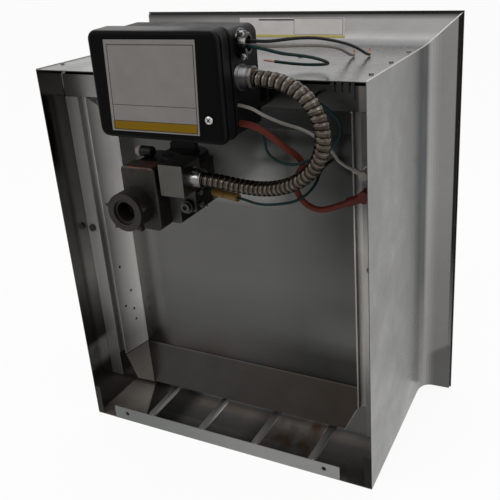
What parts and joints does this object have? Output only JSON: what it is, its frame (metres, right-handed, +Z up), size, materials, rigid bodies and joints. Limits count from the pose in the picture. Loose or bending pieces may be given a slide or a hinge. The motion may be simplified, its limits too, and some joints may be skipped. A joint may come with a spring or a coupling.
{
  "type": "infrared unit heater",
  "caption": "Gas-fired infrared unit heater: flared sheet-metal shell around a ceramic tile burner, with rear gas valve, control box, armoured conduit and ignition wiring.",
  "frame": {"origin": "on the ground under the lower lip, at the middle of the bounding box", "axes": "+Z up as the heater stands in the picture, +Y towards the radiant mouth, +X to the right seen from the controls"},
  "size_m": [0.4818, 0.382, 0.6079],
  "materials": {
    "sheet_steel": "satin rolled sheet",
    "hot_steel": "heat-tinted",
    "bright_screws": "bright zinc",
    "zinc_casting": "die cast",
    "conduit_steel": "galvanised strip",
    "grey_casting": "rough die cast",
    "dark_casting": "dark die cast",
    "black_plastic": "fine texture",
    "tile_ceramic": "unglazed, perforated",
    "white_ceramic": "glazed",
    "fibre": "felted ceramic fibre",
    "brass": "turned",
    "black_pipe": "black iron pipe",
    "board_green": "lacquered board",
    "core_grey": "varnished core",
    "red_rubber": "silicone",
    "red_wire": "silicone insulation",
    "white_wire": "insulation",
    "green_wire": "insulation",
    "black_wire": "insulation",
    "yellow_nylon": "moulded nylon"
  },
  "bodies": {
    "heater": {"black_lead": "black_wire", "bottom_deflector": "sheet_steel", "cable_clamp": "zinc_casting", "clamp_saddle": "zinc_casting", "clamp_screws": "bright_screws", "conduit_fitting_box": "zinc_casting", "conduit_fitting_valve": "zinc_casting", "control_box_base": "black_plastic", "control_box_bracket": "sheet_steel", "control_box_cover": "black_plastic", "control_transformer": "core_grey", "corner_gussets": "sheet_steel", "cover_screw": "bright_screws", "flexible_conduit": "conduit_steel", "green_lead": "green_wire", "ground_splices": "yellow_nylon", "ground_wire": "green_wire", "ignition_board": "board_green", "ignition_cable": "red_wire", "left_shield": "sheet_steel", "orifice_bracket": "sheet_steel", "orifice_spud": "brass", "outlet_nipple": "black_pipe", "plenum_box": "sheet_steel", "pressure_plug": "bright_screws", "reverberator_rods": "hot_steel", "right_shield": "sheet_steel", "rod_rack_left": "hot_steel", "rod_rack_right": "hot_steel", "seam_rivets": "bright_screws", "sensor_insulator": "white_ceramic", "sensor_rod": "hot_steel", "sensor_terminal": "white_wire", "sensor_wire": "white_wire", "sheet_screws": "bright_screws", "shell_bottom_panel": "sheet_steel", "shell_left_panel": "sheet_steel", "shell_right_panel": "sheet_steel", "shell_top_panel": "sheet_steel", "spark_boot": "red_rubber", "spark_insulator": "white_ceramic", "spark_wire": "hot_steel", "tile_frame": "hot_steel", "tile_gasket": "fibre", "tile_row_1": "tile_ceramic", "tile_row_2": "tile_ceramic", "tile_row_3": "tile_ceramic", "tile_row_4": "tile_ceramic", "top_shield": "sheet_steel", "valve_body": "dark_casting", "valve_ground_wire": "green_wire", "valve_inlet": "grey_casting", "valve_junction_box": "zinc_casting", "valve_screws": "bright_screws", "valve_top_cover": "black_plastic", "venturi_tube": "sheet_steel", "white_lead": "white_wire", "wire_comb": "sheet_steel", "wire_nut": "black_plastic"},
    "knob": {"gas_knob": "black_plastic"}
  },
  "joints": [
    {"name": "gas_knob_turn", "type": "hinge", "parent": "heater", "child": "knob", "pos_m": [-0.044, -0.04899, 0.43426], "axis": [0, 0, 1], "range_deg": [0, 90]}
  ]
}
